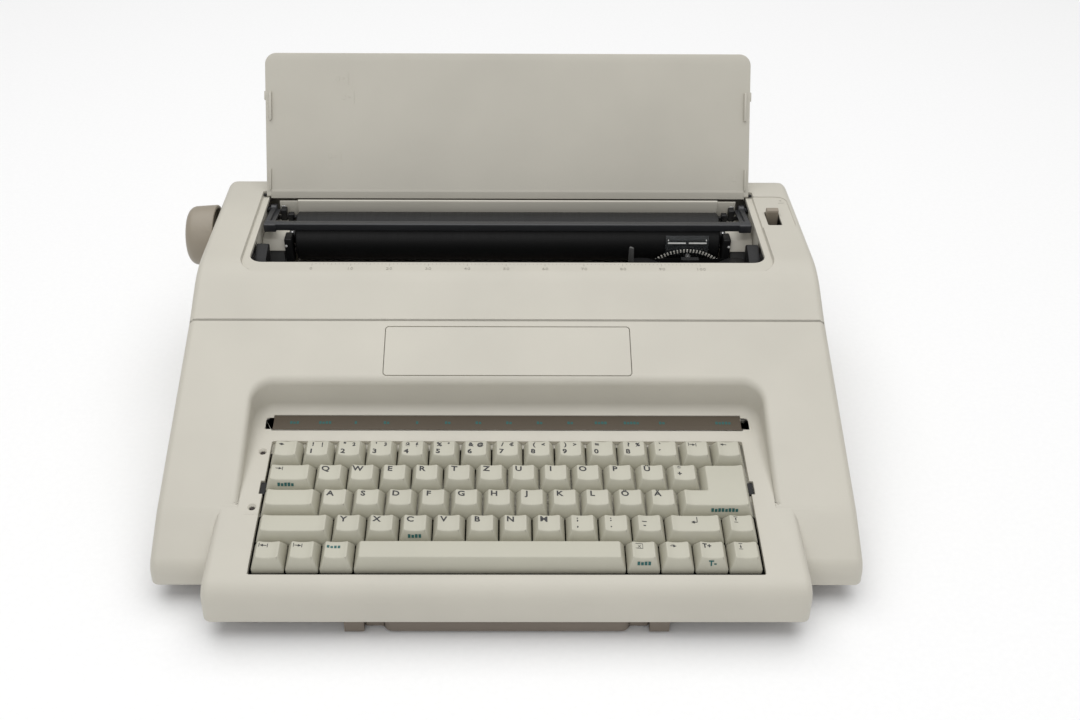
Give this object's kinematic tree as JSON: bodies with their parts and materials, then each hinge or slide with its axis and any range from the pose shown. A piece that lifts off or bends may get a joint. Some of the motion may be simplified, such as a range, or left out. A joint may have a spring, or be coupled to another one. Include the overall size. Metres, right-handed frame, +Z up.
{
  "type": "typewriter",
  "caption": "Low electronic daisy-wheel typewriter with a sloping keyboard deck, a hinged paper support over the platen, a platen knob and a pull-out carrying handle.",
  "frame": {"origin": "on the desk under the centre of the bounding box in the stored pose, paper support open", "axes": "+X to the typist's right along the platen, +Y to the back of the machine, +Z up"},
  "size_m": [0.4334, 0.3608, 0.2032],
  "materials": {
    "housing": "fine-grained warm grey ABS",
    "keycap": "satin moulded caps",
    "strip": "satin printed strip",
    "taupe": "satin",
    "underside": "satin",
    "platen_rubber": "ground matt rubber",
    "rubber": "matt",
    "bail": "satin black paint",
    "black": "satin",
    "steel": "zinc plated",
    "nylon": "natural",
    "board": "lacquered",
    "lamp": "clear red"
  },
  "bodies": {
    "machine": {"badge_plate": "housing", "base_pan": "underside", "bottom_left_bank": "keycap", "bottom_right_bank": "keycap", "carriage_motor": "steel", "carriage_shaft": "steel", "drive_belt": "rubber", "foot_front_left": "rubber", "foot_front_right": "rubber", "foot_rear_left": "rubber", "foot_rear_right": "rubber", "guide_rail": "steel", "key_plate": "steel", "keyboard_housing": "housing", "led_caps": "lamp", "led_power": "lamp", "legend_strip": "strip", "lower_bank": "keycap", "main_board": "board", "number_bank": "keycap", "paper_pan": "housing", "platen_motor": "steel", "power_inlet": "black", "side_frame_left": "steel", "side_frame_right": "steel", "top_cover": "housing", "transformer": "steel", "upper_bank": "keycap"},
    "paper_support": {"paper_support": "housing"},
    "bail": {"bail": "bail"},
    "platen": {"platen_roller": "platen_rubber", "platen_shaft": "steel", "platen_knob": "taupe", "platen_gear": "nylon"},
    "motor_pinion": {"motor_pinion": "nylon"},
    "release_lever": {"release_lever": "taupe"},
    "carriage": {"carriage": "black", "ribbon_cassette": "black"},
    "daisy_wheel": {"daisy_wheel": "black"},
    "print_hammer": {"print_hammer": "steel"},
    "carry_handle": {"carry_handle": "underside"},
    "power_switch": {"power_switch": "black"},
    "key_a": {"key_a": "keycap"},
    "key_ae": {"key_ae": "keycap"},
    "key_caps_lock": {"key_caps_lock": "keycap"},
    "key_d": {"key_d": "keycap"},
    "key_f": {"key_f": "keycap"},
    "key_g": {"key_g": "keycap"},
    "key_h": {"key_h": "keycap"},
    "key_j": {"key_j": "keycap"},
    "key_k": {"key_k": "keycap"},
    "key_l": {"key_l": "keycap"},
    "key_line_up": {"key_line_up": "keycap"},
    "key_oe": {"key_oe": "keycap"},
    "key_return": {"key_return": "keycap"},
    "key_s": {"key_s": "keycap"},
    "key_shift_left": {"key_shift_left": "keycap"},
    "key_shift_right": {"key_shift_right": "keycap"},
    "key_space": {"key_space": "keycap"},
    "key_tab": {"key_tab": "keycap"}
  },
  "joints": [
    {"name": "bail_lift", "type": "hinge", "parent": "machine", "child": "bail", "pos_m": [0.0125, 0.12355, 0.108], "axis": [1, 0, 0], "range_deg": [-50, 0]},
    {"name": "carriage_travel", "type": "slide", "parent": "machine", "child": "carriage", "axis": [1, 0, 0], "range_m": [-0.256, 0.008]},
    {"name": "daisy_spin", "type": "hinge", "parent": "carriage", "child": "daisy_wheel", "pos_m": [0.1375, 0.08555, 0.062], "axis": [0, 1, 0], "continuous": true},
    {"name": "hammer_strike", "type": "slide", "parent": "carriage", "child": "print_hammer", "axis": [0, 1, 0], "range_m": [0, 0.0015], "stiffness_N_per_m": 400},
    {"name": "handle_pull", "type": "slide", "parent": "machine", "child": "carry_handle", "axis": [0, -1, 0], "range_m": [0, 0.035]},
    {"name": "lid_fold", "type": "hinge", "parent": "machine", "child": "paper_support", "pos_m": [0.0125, 0.12935, 0.11655], "axis": [1, 0, 0], "range_deg": [0, 120.2]},
    {"name": "platen_turn", "type": "hinge", "parent": "machine", "child": "platen", "pos_m": [0.0125, 0.10685, 0.096], "axis": [1, 0, 0], "continuous": true},
    {"name": "pinion_turn", "type": "hinge", "parent": "machine", "child": "motor_pinion", "pos_m": [0.0125, 0.10685, 0.0727], "axis": [1, 0, 0], "continuous": true},
    {"name": "release_pull", "type": "hinge", "parent": "machine", "child": "release_lever", "pos_m": [0.0125, 0.10215, 0.086], "axis": [1, 0, 0], "range_deg": [0, 20]},
    {"name": "switch_rock", "type": "hinge", "parent": "machine", "child": "power_switch", "pos_m": [0.0125, 0.15255, 0.039], "axis": [1, 0, 0], "range_deg": [0, 8]},
    {"name": "travel_key_a", "type": "slide", "parent": "machine", "child": "key_a", "axis": [0, 0.1374, -0.9905], "range_m": [0, 0.0035], "stiffness_N_per_m": 200, "springref_m": -0.002},
    {"name": "travel_key_ae", "type": "slide", "parent": "machine", "child": "key_ae", "axis": [0, 0.1374, -0.9905], "range_m": [0, 0.0035], "stiffness_N_per_m": 200, "springref_m": -0.002},
    {"name": "travel_key_caps_lock", "type": "slide", "parent": "machine", "child": "key_caps_lock", "axis": [0, 0.1374, -0.9905], "range_m": [0, 0.0035], "stiffness_N_per_m": 240, "springref_m": -0.002},
    {"name": "travel_key_d", "type": "slide", "parent": "machine", "child": "key_d", "axis": [0, 0.1374, -0.9905], "range_m": [0, 0.0035], "stiffness_N_per_m": 200, "springref_m": -0.002},
    {"name": "travel_key_f", "type": "slide", "parent": "machine", "child": "key_f", "axis": [0, 0.1374, -0.9905], "range_m": [0, 0.0035], "stiffness_N_per_m": 200, "springref_m": -0.002},
    {"name": "travel_key_g", "type": "slide", "parent": "machine", "child": "key_g", "axis": [0, 0.1374, -0.9905], "range_m": [0, 0.0035], "stiffness_N_per_m": 200, "springref_m": -0.002},
    {"name": "travel_key_h", "type": "slide", "parent": "machine", "child": "key_h", "axis": [0, 0.1374, -0.9905], "range_m": [0, 0.0035], "stiffness_N_per_m": 200, "springref_m": -0.002},
    {"name": "travel_key_j", "type": "slide", "parent": "machine", "child": "key_j", "axis": [0, 0.1374, -0.9905], "range_m": [0, 0.0035], "stiffness_N_per_m": 200, "springref_m": -0.002},
    {"name": "travel_key_k", "type": "slide", "parent": "machine", "child": "key_k", "axis": [0, 0.1374, -0.9905], "range_m": [0, 0.0035], "stiffness_N_per_m": 200, "springref_m": -0.002},
    {"name": "travel_key_l", "type": "slide", "parent": "machine", "child": "key_l", "axis": [0, 0.1374, -0.9905], "range_m": [0, 0.0035], "stiffness_N_per_m": 200, "springref_m": -0.002},
    {"name": "travel_key_line_up", "type": "slide", "parent": "machine", "child": "key_line_up", "axis": [0, 0.1374, -0.9905], "range_m": [0, 0.0035], "stiffness_N_per_m": 200, "springref_m": -0.002},
    {"name": "travel_key_oe", "type": "slide", "parent": "machine", "child": "key_oe", "axis": [0, 0.1374, -0.9905], "range_m": [0, 0.0035], "stiffness_N_per_m": 200, "springref_m": -0.002},
    {"name": "travel_key_return", "type": "slide", "parent": "machine", "child": "key_return", "axis": [0, 0.1374, -0.9905], "range_m": [0, 0.0035], "stiffness_N_per_m": 300, "springref_m": -0.002},
    {"name": "travel_key_s", "type": "slide", "parent": "machine", "child": "key_s", "axis": [0, 0.1374, -0.9905], "range_m": [0, 0.0035], "stiffness_N_per_m": 200, "springref_m": -0.002},
    {"name": "travel_key_shift_left", "type": "slide", "parent": "machine", "child": "key_shift_left", "axis": [0, 0.1374, -0.9905], "range_m": [0, 0.0035], "stiffness_N_per_m": 260, "springref_m": -0.002},
    {"name": "travel_key_shift_right", "type": "slide", "parent": "machine", "child": "key_shift_right", "axis": [0, 0.1374, -0.9905], "range_m": [0, 0.0035], "stiffness_N_per_m": 240, "springref_m": -0.002},
    {"name": "travel_key_space", "type": "slide", "parent": "machine", "child": "key_space", "axis": [0, 0.1374, -0.9905], "range_m": [0, 0.0035], "stiffness_N_per_m": 400, "springref_m": -0.002},
    {"name": "travel_key_tab", "type": "slide", "parent": "machine", "child": "key_tab", "axis": [0, 0.1374, -0.9905], "range_m": [0, 0.0035], "stiffness_N_per_m": 220, "springref_m": -0.002}
  ],
  "couplings": [
    {"joint": "pinion_turn", "follows": "platen_turn", "ratio": -2.8333}
  ]
}
